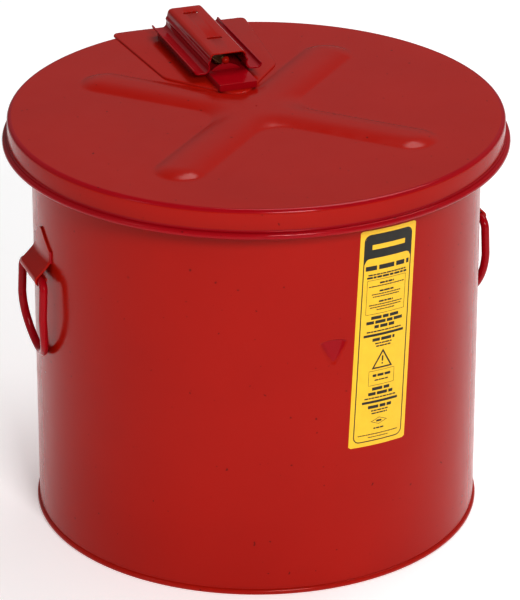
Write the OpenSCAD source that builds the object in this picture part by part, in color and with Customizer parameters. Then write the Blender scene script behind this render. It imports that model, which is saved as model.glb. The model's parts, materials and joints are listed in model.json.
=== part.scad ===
// Round bench-top parts washer tank with a hinged lid, two swinging side handles,
// a fusible-link bracket on the lid and a lift-out drain basket.
// Millimetres, +Z up. The origin is on the tank's axis at the floor.
// The lid hinges at the rear, on the +Y side, and the front faces -Y.

/* [Tank] */
// Outside diameter of the tank wall
tank_od = 349; // [345:1:352]
// Height of the top of the rolled rim above the floor
rim_z = 328.5; // [322:0.5:336]
// Thickness of the tank's sheet
tank_sheet = 1.0; // [0.8:0.1:1.2]
// Outside radius of the rolled rim
rim_roll_r = 4; // [3.5:0.1:4.5]
// Radius of the bead round the bottom edge
chime_r = 2.4; // [2.2:0.1:2.8]
// Height of the bottom sheet above the floor
bottom_z = 6; // [5:0.5:8]

/* [Fill mark and label] */
// Height of the top edge of the pressed fill mark
mark_z = 211.5; // [200:0.5:230]
// Width of the fill mark along its top edge
mark_w = 24; // [18:1:30]
// Height of the fill mark from its top edge to its point
mark_h = 21; // [16:1:26]
// Depth of the fill mark at its top edge
mark_depth = 2.6; // [1.5:0.1:3]
// Width of the label
label_w = 51; // [40:1:60]
// Height of the label
label_h = 179; // [150:1:190]
// Height of the label's centre above the floor
label_z = 206; // [200:0.5:210]
// Direction of the label's centre seen from above, 0 is +X
label_dir = -76.2; // [-80:0.1:-70]
// Lean of the label
label_lean = 2.8; // [0:0.1:4]

/* [Lid] */
// Outside diameter of the lid over its bead
lid_od = 393.5; // [392:0.5:396]
// Thickness of the lid's sheet
lid_sheet = 1.2; // [1:0.1:1.2]
// Outside radius of the lid's skirt
skirt_r = 192.7; // [192.5:0.1:193]
// Radius of the crease between the top and the skirt
crease_r = 3.5; // [2.5:0.1:4]
// Height of the middle of the rolled bead
bead_z = 310.2; // [308:0.1:313]
// Gap between the lid and the rim it rests on
lid_gap = 0.3; // [0.2:0.1:0.5]
// Distance from the axis to the tip of each arm of the pressed cross
cross_reach = 150; // [140:1:160]
// Width of the cross's arms
cross_w = 40; // [34:1:44]
// Height of the cross above the lid
cross_h = 3.5; // [2.5:0.1:4]

/* [Hinge] */
// Distance from the tank's axis to the hinge pin
hinge_y = 199; // [198.6:0.1:199.4]
// Height of the hinge pin
hinge_z = 321.5; // [320.5:0.1:322.5]
// Radius of the hinge pin
pin_r = 2.4; // [2:0.1:2.6]
// Outside radius of the hinge barrels
barrel_r = 4; // [3.8:0.1:4]
// Half length of the tank's middle barrel
barrel_half = 24; // [20:1:28]
// Half length of the whole hinge
hinge_half = 46; // [42:1:50]
// Thickness of the hinge plate on the lid
plate_t = 1.5; // [1.2:0.1:1.5]
// Thickness of the hinge bracket on the tank
bracket_t = 1.5; // [1.2:0.1:1.5]

/* [Channel and fusible link] */
// Height of the channel's top above the lid
channel_h = 23.5; // [22.5:0.5:26]
// Width of the channel's top
channel_w = 30; // [28:1:32]
// Front end of the channel
channel_front = 66; // [62:1:70]
// Length of the channel
channel_len = 106.5; // [102:0.5:110]
// Width over the channel's flanges
flange_w = 57; // [54:1:60]
// Height of the link bracket above the lid
tongue_h = 7; // [6:0.5:8]
// Front edge of the link bracket
tongue_front = 41; // [39:1:44]
// Width of the link bracket's tongue
tongue_w = 31; // [29:1:31]

/* [Side handles] */
// Diameter of the handle's rod
handle_rod_d = 6.5; // [6:0.1:7]
// Height of the handle's pivot
handle_z = 221.5; // [215:0.5:230]
// Length of the knuckle that holds the handle
knuckle_len = 40; // [36:1:44]
// Distance from the tank's wall to the middle of the pivot
handle_reach = 7.5; // [6.5:0.1:8.5]
// Distance from the pivot to the bottom of the loop
handle_drop = 68; // [60:1:72]
// Distance between the middles of the loop's legs
handle_w = 56; // [52:1:60]
// How far the legs bow away from the line between the pivot and the bottom
handle_bow = 3.4; // [2:0.1:5]

/* [Drain basket] */
// Outside diameter of the basket
basket_od = 280; // [260:1:290]
// Height of the basket's floor above the tank's bottom sheet
basket_lift_h = 20; // [14:1:30]
// Height of the basket's wall
basket_h = 120; // [100:1:130]
// Diameter of the drain holes
drain_d = 8; // [6:0.5:10]
// Radius of the rim wire and of the bail
basket_wire_r = 3; // [2.5:0.1:3]

/* [Hidden] */
$fn = 96;
eps = 0.5;
running_fit = 0.05;

tank_r = tank_od / 2;
tank_in_r = tank_r - tank_sheet;
chime_flat = 0.2;
chime_mid_z = chime_r - chime_flat;
rim_mid_r = tank_in_r + rim_roll_r;
rim_mid_z = rim_z - rim_roll_r;

lid_top = rim_z + lid_gap + lid_sheet;
bead_r = lid_od / 2 - (skirt_r - lid_sheet);
bead_r_half = bead_r / 2;
cross_ball_r = (cross_w * cross_w / 4 + cross_h * cross_h) / (2 * cross_h);
cross_mid_z = lid_top + cross_h - cross_ball_r;
cross_arm = cross_reach - cross_w / 2;

plate_top = lid_top + plate_t;
plate_nose_w = 10;
plate_nose_y = 34.5;
plate_shoulder = [47, 84];
plate_rear = [57, 190];
barrel_back = hinge_y + barrel_r;
side_play = 0.4;
strap_start = [190.5, plate_top];

shelf_z = 292.5;
bracket_low_z = 257.5;
web_reach = 3;
seam_r = 1.2;

tongue_top = lid_top + tongue_h;
tongue_t = 1.2;
seat_w = 48;
seat_front = 84;
channel_t = 1.2;
channel_top = lid_top + channel_h;
slot_w = 12;
slot_len = 4;
slot_ys = [channel_front + 33.5, channel_front + 92.5];
tab_drop = 5;

link_w = 12;
link_t = 0.8;
link_z = lid_top + 10.6;
post_y = channel_front + 6;
post_w = 24;
post_rise = 5;
post_round_r = (post_w * post_w / 4 + post_rise * post_rise) / (2 * post_rise);
rivet_z = lid_top + 14.7;
rivet_r = 1.6;
rivet_head_r = 3.3;
rivet_head_h = 2.6;
rivet_tail_r = 2.5;
rivet_tail_h = 0.6;
lug_r = 3;
anchor_w = 8;
strip_front_end = channel_front + 42;
strip_rear_start = channel_front + 26;
strip_rear_end = channel_front + 64;
spring_hole_y = strip_rear_end - 4;
spring_hole_r = 1.6;
solder_t = 0.2;
spring_r = 3.6;
spring_wire_r = 0.6;
spring_hook_r = 2.6;
spring_turns = 14;
spring_z = link_z + link_t + solder_t + link_t / 2;
spring_start = spring_hole_y + 2 * spring_hook_r + spring_wire_r;
spring_pitch = 2 * spring_wire_r + 0.1;
spring_end = spring_start + (spring_turns - 1) * spring_pitch;
anchor_y = spring_end + spring_wire_r + spring_hook_r + 0.4;

ear_t = 1.5;
handle_rod_r = handle_rod_d / 2;
knuckle_bore_r = handle_rod_r + running_fit;
knuckle_r = knuckle_bore_r + ear_t;
pivot_r = tank_r + handle_reach;
ear_tip_r = 5;
ear_tip_z = handle_z + 31;
ear_shoulder_z = handle_z + 23;
ear_slope = 42;
rest_gap = 0.35;
bottom_out = handle_rod_r + rest_gap - handle_reach;
leg_bend_r = 7;
leg_y = handle_w / 2;
bowl_share = 0.58;
bowl_z = handle_z - handle_drop * (1 - bowl_share);
bowl_h = handle_drop * bowl_share;
half_loop = concat(
    [[leg_y - leg_bend_r - 1.5, handle_z]],
    arc([leg_y - leg_bend_r, handle_z - leg_bend_r], leg_bend_r, 90, 0, 5),
    [for (a = [0 : 10 : 90]) [leg_y * cos(a), bowl_z - bowl_h * sin(a)]]);
loop_yz = concat(half_loop, [for (i = [len(half_loop) - 2 : -1 : 0]) [-half_loop[i].x, half_loop[i].y]]);
loop_path = [for (p = loop_yz) [pivot_r + loop_out(p.y), p.x, p.y]];

basket_r = basket_od / 2;
basket_t = 1.2;
basket_z = bottom_z + tank_sheet + basket_lift_h;
basket_rim_z = basket_z + basket_h;
basket_corner_r = 10;
floor_play = 0.3;
foot_r = 5;
foot_ring_r = basket_r - 28;
bail_z = basket_rim_z + 2 * basket_wire_r + 0.2;
bail_r = basket_r - 0.5;
ear_gap = 0.3;
basket_ear_w = 18;
basket_ear_t = 1.5;
basket_ear_in = basket_r + basket_wire_r + ear_gap;
basket_ear_low = 22;
basket_ear_bend = 8;

red = [0.66, 0.11, 0.08];
dark_red = [0.55, 0.06, 0.06];
zinc = [0.72, 0.73, 0.74];
brass = [0.78, 0.6, 0.28];
label_yellow = [0.96, 0.8, 0.18];

// ---- shared shapes ----

function arc(c, r, from, to, steps = 6) =
    [for (i = [0 : steps]) let (a = from + (to - from) * i / steps) c + r * [cos(a), sin(a)]];

function backwards(list) = [for (i = [len(list) - 1 : -1 : 0]) list[i]];

// A ring standing on z, between two radii
module ring(inner_r, outer_r, z, height) {
    translate([0, 0, z])
        rotate_extrude()
            translate([inner_r, 0])
                square([outer_r - inner_r, height]);
}

// A torus round the z axis
module hoop(mid_r, wire_r, z) {
    translate([0, 0, z])
        rotate_extrude()
            translate([mid_r, 0])
                circle(r = wire_r);
}

// A cylinder along x between two x values
module rod_x(r, x0, x1, y, z) {
    translate([x0, y, z])
        rotate([0, 90, 0])
            cylinder(r = r, h = x1 - x0);
}

// A cylinder along y between two y values
module rod_y(r, x, y0, y1, z) {
    translate([x, y0, z])
        rotate([-90, 0, 0])
            cylinder(r = r, h = y1 - y0);
}

// A box given by its lowest and highest corners
module block(low, high) {
    translate(low)
        cube(high - low);
}

// An outline in the y-z plane, carried along x between two x values
module along_x(x0, x1) {
    translate([x0, 0, 0])
        rotate([90, 0, 90])
            linear_extrude(x1 - x0)
                children();
}

// An outline in the x-z plane, carried along y between two y values
module along_y(y0, y1) {
    translate([0, y1, 0])
        rotate([90, 0, 0])
            linear_extrude(y1 - y0)
                children();
}

// ---- tank ----

module wall_profile() {
    translate([tank_in_r, chime_mid_z])
        square([tank_sheet, rim_mid_z - chime_mid_z]);
    difference() {
        translate([rim_mid_r, rim_mid_z])
            difference() {
                circle(r = rim_roll_r);
                circle(r = rim_roll_r - tank_sheet);
            }
        // The roll stops short of the wall
        translate([tank_r, rim_mid_z - rim_roll_r - eps])
            square([rim_roll_r - tank_sheet - eps, rim_roll_r + eps]);
    }
}

module mark_outline(grow) {
    half = mark_w / 2 + grow;
    polygon([[-half, mark_z + grow], [half, mark_z + grow], [grow, mark_z - mark_h - grow],
        [-grow, mark_z - mark_h - grow]]);
}

// The pressed fill mark: a pocket whose back slopes in from its point up to its top edge
module mark_wedge(grow) {
    slope = atan(mark_depth / mark_h);
    intersection() {
        along_y(-tank_r - eps, -tank_r + 2 * mark_depth + 2 * tank_sheet)
            mark_outline(grow);
        translate([-mark_w, -tank_r + grow, mark_z - mark_h])
            rotate([-slope, 0, 0])
                translate([0, -2 * mark_h, -mark_h])
                    cube([2 * mark_w, 2 * mark_h, 3 * mark_h]);
    }
}

module tank_shell() color(red) {
    difference() {
        union() {
            rotate_extrude() wall_profile();
            intersection() {
                mark_wedge(tank_sheet);
                translate([0, 0, mark_z - 2 * mark_h])
                    cylinder(r = tank_r - tank_sheet / 2, h = 3 * mark_h);
            }
            // Welded side seam at the rear
            translate([0, tank_r, 2 * chime_r + 1])
                cylinder(r = seam_r, h = bracket_low_z - 2 * chime_r - 4);
        }
        mark_wedge(0);
    }
}

module tank_bottom() color(red) {
    flange_r = tank_in_r - tank_sheet;
    translate([0, 0, bottom_z])
        cylinder(r = flange_r + tank_sheet / 2, h = tank_sheet);
    ring(flange_r, tank_in_r, chime_mid_z, bottom_z + tank_sheet - chime_mid_z);
}

module bottom_chime() color(dark_red) {
    rotate_extrude()
        intersection() {
            difference() {
                translate([tank_in_r + tank_sheet / 2, chime_mid_z]) circle(r = chime_r);
                translate([tank_in_r - tank_sheet, chime_mid_z])
                    square([2 * tank_sheet, 2 * chime_r]);
            }
            translate([tank_in_r - 2 * chime_r, 0]) square([4 * chime_r, 3 * chime_r]);
        }
}

module rim_wire() color(zinc)
    hoop(rim_mid_r, rim_roll_r - tank_sheet, rim_mid_z);

module tank_label() color(label_yellow) {
    film = 0.3;
    corner_r = 4;
    rotate([0, 0, label_dir])
        intersection() {
            ring(tank_r, tank_r + film, label_z - label_h, 2 * label_h, $fn = 720);
            translate([0, 0, label_z])
                rotate([-label_lean, 0, 0])
                    along_x(tank_r - 2 * corner_r, tank_r + 2 * corner_r) {
                        square([label_w - 2 * corner_r, label_h], center = true);
                        square([label_w, label_h - 2 * corner_r], center = true);
                        for (sx = [-1, 1], sy = [-1, 1])
                            translate([sx * (label_w / 2 - corner_r), sy * (label_h / 2 - corner_r)])
                                circle(r = corner_r, $fn = 32);
                    }
        }
}

// ---- side handles ----

// Ear plate: straight sides, then a triangle with a round tip
module ear_outline() {
    half = knuckle_len / 2;
    rise = ear_tip_z - ear_shoulder_z;
    tangent_dir = acos(ear_tip_r / norm([half, rise])) - atan(rise / half);
    touch = ear_tip_r * [cos(tangent_dir), sin(tangent_dir)];
    low_z = handle_z + 2 * handle_rod_r;
    polygon([[-half, low_z], [half, low_z], [half, ear_shoulder_z],
        [touch.x, ear_tip_z + touch.y], [-touch.x, ear_tip_z + touch.y], [-half, ear_shoulder_z]]);
    translate([0, ear_tip_z]) circle(r = ear_tip_r);
}

// The sheet that slopes from the wall out to the knuckle, in the x-z plane
module ear_slope_outline() {
    square_to = [cos(ear_slope), sin(ear_slope)];
    down = [sin(ear_slope), -cos(ear_slope)];
    outer = [pivot_r, handle_z] + knuckle_r * square_to;
    inner = [pivot_r, handle_z] + knuckle_bore_r * square_to;
    buried_x = tank_r - 2 * ear_t;
    polygon([outer, outer - down * (outer.x - buried_x) / down.x,
        inner - down * (inner.x - buried_x) / down.x, inner]);
}

module handle_ear() {
    half = knuckle_len / 2;
    difference() {
        union() {
            intersection() {
                ring(tank_r, tank_r + ear_t, handle_z, 2 * knuckle_len);
                along_x(tank_r - 3 * ear_t, tank_r + 3 * ear_t) ear_outline();
            }
            rod_y(knuckle_r, pivot_r, -half, half, handle_z);
            difference() {
                along_y(-half, half) ear_slope_outline();
                cylinder(r = tank_r, h = 2 * handle_z);
            }
        }
        rod_y(knuckle_bore_r, pivot_r, -half - eps, half + eps, handle_z);
    }
}

module handle_ear_left() color(red) mirror([1, 0, 0]) handle_ear();

module handle_ear_right() color(red) handle_ear();

// How far the loop's middle line stands outside its pivot at a height
function loop_out(z) =
    let (share = (handle_z - z) / handle_drop)
    handle_bow * sin(180 * share) + bottom_out * share;

function unit(v) = v / norm(v);

// A tube along a path: rings of points, each square to the path
module tube(path, r, sides) {
    last = len(path) - 1;
    rings = [for (i = [0 : last])
        let (ahead = unit(path[min(i + 1, last)] - path[max(i - 1, 0)]),
             side = unit(cross(ahead, [1, 0, 0])),
             up = cross(side, ahead))
        for (k = [0 : sides - 1])
            let (a = 360 * k / sides) path[i] + r * (cos(a) * side + sin(a) * up)];
    walls = [for (i = [0 : last - 1], k = [0 : sides - 1])
        let (n = (k + 1) % sides)
        [i * sides + k, i * sides + n, (i + 1) * sides + n, (i + 1) * sides + k]];
    start_cap = [for (k = [sides - 1 : -1 : 0]) k];
    end_cap = [for (k = [0 : sides - 1]) last * sides + k];
    polyhedron(rings, concat(walls, [start_cap, end_cap]));
}

module handle_loop() {
    straight = leg_y - leg_bend_r;
    rod_y(handle_rod_r, pivot_r, -straight, straight, handle_z);
    tube(loop_path, handle_rod_r - running_fit, 12);
}

module handle_left() color(dark_red) mirror([1, 0, 0]) handle_loop();

module handle_right() color(dark_red) handle_loop();

// ---- hinge ----

module rear_hinge_bracket() color(red) {
    back = barrel_back;
    front = back - bracket_t;
    difference() {
        union() {
            // Flange that is spot-welded to the tank's wall
            intersection() {
                ring(tank_r, tank_r + bracket_t, bracket_low_z, shelf_z + bracket_t - bracket_low_z);
                block([-barrel_half, 0, bracket_low_z], [barrel_half, back, shelf_z + bracket_t]);
            }
            // Shelf that reaches out behind the lid's bead
            difference() {
                block([-barrel_half, tank_r - 2 * bracket_t, shelf_z], [barrel_half, back, shelf_z + bracket_t]);
                cylinder(r = tank_r, h = 2 * shelf_z);
            }
            block([-barrel_half, front, shelf_z], [barrel_half, back, hinge_z]);
            rod_x(barrel_r, -barrel_half, barrel_half, hinge_y, hinge_z);
            // Side webs below the shelf
            for (side = [0, 1])
                mirror([side, 0, 0])
                    difference() {
                        along_x(barrel_half - bracket_t, barrel_half)
                            polygon([[tank_r - web_reach, bracket_low_z], [tank_r + web_reach, bracket_low_z],
                                [back, shelf_z - 2 * barrel_r], [back, shelf_z + eps],
                                [tank_r - web_reach, shelf_z + eps]]);
                        cylinder(r = tank_r, h = 2 * shelf_z);
                    }
        }
        rod_x(pin_r, -hinge_half, hinge_half, hinge_y, hinge_z);
    }
}

module hinge_pin() color(zinc) {
    end = hinge_half + 2;
    rod_x(pin_r, -hinge_half - 0.3, end, hinge_y, hinge_z);
    translate([-hinge_half - 0.3, hinge_y, hinge_z])
        rotate([0, -90, 0])
            rotate_extrude()
                intersection() {
                    circle(r = barrel_r);
                    square([barrel_r, 2]);
                }
}

module pin_retainer() color(zinc)
    difference() {
        rod_x(barrel_r, hinge_half + 0.3, hinge_half + 1.3, hinge_y, hinge_z);
        rod_x(pin_r, hinge_half, hinge_half + 2, hinge_y, hinge_z);
    }

module lid_hinge_plate() color(red) {
    play = barrel_half + side_play;
    pin = [hinge_y, hinge_z];
    to_pin = pin - strap_start;
    strap_angle = atan2(to_pin.y, to_pin.x) + asin(barrel_r / norm(to_pin));
    strap_out = [-sin(strap_angle), cos(strap_angle)];
    strap_end = pin + barrel_r * strap_out;
    difference() {
        union() {
            // Flat plate between the rear arms of the cross
            translate([0, 0, lid_top])
                linear_extrude(plate_t)
                    polygon([[-plate_nose_w / 2, plate_nose_y], [plate_nose_w / 2, plate_nose_y],
                        plate_shoulder, plate_rear, [-plate_rear.x, plate_rear.y],
                        [-plate_shoulder.x, plate_shoulder.y]]);
            for (side = [0, 1])
                mirror([side, 0, 0]) {
                    // Strap that slopes down over the lid's edge to the barrel
                    along_x(play, hinge_half)
                        polygon([[plate_rear.y - 5, lid_top], [plate_rear.y - 5, plate_top], strap_start,
                            strap_end, strap_end - plate_t * strap_out, [strap_start.x, lid_top]]);
                    rod_x(barrel_r, play, hinge_half, hinge_y, hinge_z);
                }
        }
        rod_x(pin_r + running_fit, -hinge_half - eps, hinge_half + eps, hinge_y, hinge_z);
    }
}

// ---- lid ----

module lid_profile() {
    edge = skirt_r - crease_r;
    translate([0, lid_top - lid_sheet])
        square([edge, lid_sheet]);
    translate([edge, lid_top - crease_r])
        intersection() {
            difference() {
                circle(r = crease_r);
                circle(r = crease_r - lid_sheet);
            }
            square(crease_r);
        }
    translate([skirt_r - lid_sheet, bead_z])
        square([lid_sheet, lid_top - crease_r - bead_z]);
    translate([skirt_r - lid_sheet + bead_r_half, bead_z])
        difference() {
            circle(r = bead_r_half);
            circle(r = bead_r_half - lid_sheet);
        }
}

// Two round-backed bars with round ends, crossed, cut off at a height
module cross_form(shrink, cut_z) {
    r = cross_ball_r - shrink;
    intersection() {
        for (turn = [45, 135])
            rotate([0, 0, turn]) {
                rod_x(r, -cross_arm, cross_arm, 0, cross_mid_z);
                for (end = [0, 1])
                    mirror([end, 0, 0])
                        translate([cross_arm, 0, cross_mid_z])
                            rotate([0, 0, -90])
                                rotate_extrude(angle = 180)
                                    intersection() {
                                        circle(r = r);
                                        translate([0, -r]) square([r, 2 * r]);
                                    }
            }
        translate([0, 0, cut_z])
            cylinder(r = cross_reach + cross_w, h = 3 * cross_h);
    }
}

module lid_panel() color(red)
    difference() {
        union() {
            rotate_extrude() lid_profile();
            cross_form(0, lid_top - lid_sheet / 2);
        }
        cross_form(lid_sheet, lid_top - 2 * lid_sheet);
    }

module lid_bead_wire() color(zinc)
    hoop(skirt_r - lid_sheet + bead_r_half, bead_r_half - lid_sheet, bead_z);

// ---- channel and fusible link ----

// One side of the channel's section, at a distance from the middle of its sheet
function channel_side(d) =
    let (flare = 9,
         corner_r = 3.4, foot_r = 4, lip_r = 3.6,
         corner = [channel_w / 2 - corner_r - channel_t / 2, channel_top - corner_r - channel_t / 2],
         flange_z = tongue_top + channel_t / 2,
         reach = corner_r + foot_r,
         run = (corner.y + reach * sin(flare) - foot_r - flange_z) / cos(flare),
         foot = corner + reach * [cos(flare), sin(flare)] + run * [sin(flare), -cos(flare)],
         lip = [flange_w / 2 - lip_r - channel_t / 2, flange_z + lip_r])
    concat(arc(corner, corner_r + d, 90, flare), arc(foot, foot_r - d, 180 + flare, 270),
        arc(lip, lip_r - d, 270, 360));

function both_sides(half) = concat([for (p = backwards(half)) [-p.x, p.y]], half);

module hinge_channel() color(red) {
    difference() {
        along_y(channel_front, channel_front + channel_len)
            polygon(concat(both_sides(channel_side(channel_t / 2)),
                backwards(both_sides(channel_side(-channel_t / 2)))));
        for (y = slot_ys)
            block([-slot_w / 2, y - slot_len / 2, channel_top - 2 * channel_t],
                [slot_w / 2, y + slot_len / 2, channel_top + eps]);
    }
    // Tabs bent down from the rear edges of the slots
    for (y = slot_ys)
        block([-slot_w / 2, y + slot_len / 2, channel_top - tab_drop],
            [slot_w / 2, y + slot_len / 2 + channel_t, channel_top - channel_t / 2]);
}

module link_bracket() color(dark_red) {
    rear = channel_front + channel_len;
    low = plate_top;
    difference() {
        union() {
            block([-tongue_w / 2, tongue_front, low], [tongue_w / 2, seat_front + eps, tongue_top]);
            block([-seat_w / 2, seat_front, low], [seat_w / 2, rear, tongue_top]);
        }
        block([-tongue_w / 2 + tongue_t, tongue_front + tongue_t, low - eps],
            [tongue_w / 2 - tongue_t, rear + eps, tongue_top - tongue_t]);
        block([-seat_w / 2 + tongue_t, seat_front + tongue_t, low - eps],
            [seat_w / 2 - tongue_t, rear + eps, tongue_top - tongue_t]);
    }
    // Low round-topped post, with a lug that holds the link's front rivet
    difference() {
        along_y(post_y, post_y + tongue_t) {
            intersection() {
                translate([0, tongue_top + post_rise - post_round_r]) circle(r = post_round_r);
                translate([-post_w / 2, tongue_top - tongue_t]) square([post_w, post_rise + tongue_t]);
            }
            translate([-lug_r, tongue_top]) square([2 * lug_r, rivet_z - tongue_top]);
            translate([0, rivet_z]) circle(r = lug_r);
        }
        rod_y(rivet_r, 0, post_y - eps, post_y + tongue_t + eps, rivet_z);
    }
    // Anchor for the spring's rear hook
    difference() {
        block([-anchor_w / 2, anchor_y, tongue_top - tongue_t],
            [anchor_w / 2, anchor_y + tongue_t, spring_z + 1]);
        rod_y(spring_hole_r, 0, anchor_y - eps, anchor_y + tongue_t + eps, spring_z - 2);
    }
}

module link_front_strip() color(brass) {
    start = post_y + tongue_t;
    difference() {
        block([-lug_r, start, link_z], [lug_r, start + link_t, rivet_z + lug_r - eps / 2]);
        rod_y(rivet_r, 0, start - eps, start + link_t + eps, rivet_z);
    }
    block([-link_w / 2, start, link_z], [link_w / 2, strip_front_end, link_z + link_t]);
}

module link_rear_strip() color(brass)
    difference() {
        block([-link_w / 2, strip_rear_start, link_z + link_t + solder_t],
            [link_w / 2, strip_rear_end, link_z + 2 * link_t + solder_t]);
        translate([0, spring_hole_y, link_z])
            cylinder(r = spring_hole_r, h = 3 * link_t + solder_t);
    }

module link_solder() color(zinc)
    block([-link_w / 2, strip_rear_start, link_z + link_t],
        [link_w / 2, strip_front_end, link_z + link_t + solder_t]);

module link_rivet() color(red) {
    back = post_y + tongue_t + link_t;
    rod_y(rivet_r, 0, post_y - eps, back + rivet_tail_h, rivet_z);
    translate([0, post_y, rivet_z])
        rotate([90, 0, 0])
            rotate_extrude()
                intersection() {
                    translate([0, rivet_head_h - rivet_head_r]) circle(r = rivet_head_r);
                    square([rivet_head_r, rivet_head_h]);
                }
    rod_y(rivet_tail_r, 0, back, back + rivet_tail_h, rivet_z);
}

module link_spring() color(zinc) {
    for (i = [0 : spring_turns - 1])
        translate([0, spring_start + i * spring_pitch, spring_z])
            rotate([90, 0, 0])
                hoop(spring_r, spring_wire_r, 0);
    for (y = [spring_start - spring_wire_r - spring_hook_r, spring_end + spring_wire_r + spring_hook_r])
        translate([0, y, spring_z])
            rotate([0, 90, 0])
                hoop(spring_hook_r, spring_wire_r, 0);
}

// ---- drain basket ----

module basket_profile() {
    inner = basket_corner_r - basket_t;
    translate([0, basket_z])
        square([basket_r - basket_corner_r, basket_t]);
    translate([basket_r - basket_corner_r, basket_z + basket_corner_r])
        intersection() {
            difference() {
                circle(r = basket_corner_r);
                circle(r = inner);
            }
            translate([0, -basket_corner_r]) square(basket_corner_r);
        }
    translate([basket_r - basket_t, basket_z + basket_corner_r])
        square([basket_t, basket_h - basket_corner_r - basket_wire_r]);
}

module basket_pan() color(zinc) {
    rows = 3;
    columns = 20;
    row_pitch = 26;
    rings = 4;
    ring_pitch = 30;
    difference() {
        rotate_extrude() basket_profile();
        for (row = [0 : rows - 1], col = [0 : columns - 1])
            rotate([0, 0, (col + row % 2 / 2 + 0.5) * 360 / columns])
                rod_x(drain_d / 2, basket_r - 3 * basket_t, basket_r + basket_t, 0,
                    basket_z + 30 + row * row_pitch);
        for (k = [1 : rings], i = [0 : 6 * k - 1])
            rotate([0, 0, i * 360 / (6 * k) + 30])
                translate([(k - 0.5) * ring_pitch, 0, basket_z - eps])
                    cylinder(r = drain_d / 2, h = basket_t + 2 * eps);
    }
}

module basket_rim_wire() color(zinc)
    hoop(basket_r - basket_t / 2, basket_wire_r, basket_rim_z);

module basket_ears() color(zinc)
    for (side = [0, 1])
        mirror([side, 0, 0])
            difference() {
                union() {
                    // Foot on the basket's wall
                    intersection() {
                        ring(basket_r, basket_r + basket_ear_t, basket_rim_z - basket_ear_low,
                            basket_ear_low - basket_ear_bend + basket_ear_t);
                        block([0, -basket_ear_w / 2, 0], [basket_od, basket_ear_w / 2, basket_rim_z]);
                    }
                    // Step out past the rim wire
                    difference() {
                        block([basket_r - 1, -basket_ear_w / 2, basket_rim_z - basket_ear_bend],
                            [basket_ear_in + basket_ear_t, basket_ear_w / 2,
                                basket_rim_z - basket_ear_bend + basket_ear_t]);
                        cylinder(r = basket_r, h = 2 * basket_rim_z);
                    }
                    block([basket_ear_in, -basket_ear_w / 2, basket_rim_z - basket_ear_bend],
                        [basket_ear_in + basket_ear_t, basket_ear_w / 2, bail_z]);
                    rod_x(basket_ear_w / 2, basket_ear_in, basket_ear_in + basket_ear_t, 0, bail_z);
                }
                rod_x(basket_wire_r + running_fit, basket_ear_in - eps,
                    basket_ear_in + basket_ear_t + eps, 0, bail_z);
            }

module basket_ear_rivets() color(zinc)
    for (side = [0, 1], dy = [-5, 5])
        mirror([side, 0, 0])
            rod_x(1.8, basket_r - basket_t - 0.8, basket_r + basket_ear_t + 0.8, dy,
                basket_rim_z - basket_ear_low + 7);

module basket_feet() color(zinc)
    for (turn = [90, 210, 330])
        rotate([0, 0, turn])
            translate([foot_ring_r, 0, bottom_z + tank_sheet + floor_play])
                cylinder(r = foot_r, h = basket_lift_h - floor_play);

module basket_bail() color(zinc) {
    tip = basket_ear_in + basket_ear_t + 3;
    translate([0, 0, bail_z])
        rotate_extrude(angle = 180)
            translate([bail_r, 0])
                circle(r = basket_wire_r);
    for (side = [0, 1])
        mirror([side, 0, 0])
            rod_x(basket_wire_r, bail_r - basket_wire_r, tip, 0, bail_z);
}

tank_shell();
tank_bottom();
bottom_chime();
rim_wire();
tank_label();
handle_ear_left();
handle_ear_right();
rear_hinge_bracket();
hinge_pin();
pin_retainer();
lid_panel();
lid_bead_wire();
lid_hinge_plate();
link_bracket();
hinge_channel();
link_front_strip();
link_rear_strip();
link_solder();
link_rivet();
link_spring();
handle_left();
handle_right();
basket_pan();
basket_rim_wire();
basket_ears();
basket_ear_rivets();
basket_feet();
basket_bail();
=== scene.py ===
import json
import math

import bmesh
import bpy
from mathutils import Matrix, Vector


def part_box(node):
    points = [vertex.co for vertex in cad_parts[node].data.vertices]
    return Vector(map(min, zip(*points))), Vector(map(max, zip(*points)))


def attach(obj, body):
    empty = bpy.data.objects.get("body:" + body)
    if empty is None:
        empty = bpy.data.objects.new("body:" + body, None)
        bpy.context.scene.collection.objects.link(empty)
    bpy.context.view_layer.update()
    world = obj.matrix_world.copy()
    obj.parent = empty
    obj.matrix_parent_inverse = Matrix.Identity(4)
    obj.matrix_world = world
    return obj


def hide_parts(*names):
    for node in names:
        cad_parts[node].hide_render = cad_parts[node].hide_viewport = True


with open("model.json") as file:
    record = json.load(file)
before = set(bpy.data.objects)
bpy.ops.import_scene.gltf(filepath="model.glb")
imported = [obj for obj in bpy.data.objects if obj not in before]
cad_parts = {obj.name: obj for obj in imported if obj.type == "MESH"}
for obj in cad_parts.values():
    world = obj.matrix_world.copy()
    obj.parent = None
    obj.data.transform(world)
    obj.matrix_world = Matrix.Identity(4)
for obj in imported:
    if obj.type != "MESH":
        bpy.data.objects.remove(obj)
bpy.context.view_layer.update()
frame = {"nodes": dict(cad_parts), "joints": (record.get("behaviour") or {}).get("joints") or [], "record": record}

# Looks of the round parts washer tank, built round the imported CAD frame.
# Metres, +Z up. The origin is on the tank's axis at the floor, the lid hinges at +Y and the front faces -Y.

MM = 0.001
FRONT = -math.pi / 2


# ---- sizes, read from the frame ----

def low(node):
    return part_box(node)[0]


def high(node):
    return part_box(node)[1]


TANK_SHEET = 1.0 * MM
LID_SHEET = 1.2 * MM
PLATE_T = 1.5 * MM

WALL_IN_R = high("tank_bottom").x
WALL_R = WALL_IN_R + TANK_SHEET
RIM_Z = high("tank_shell").z
RIM_OUT_R = high("tank_shell").x
RIM_ROLL_R = (RIM_OUT_R - WALL_IN_R) / 2
CHIME_R = high("bottom_chime").x - (WALL_R - TANK_SHEET / 2)
BOTTOM_Z = high("tank_bottom").z - TANK_SHEET

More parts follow.
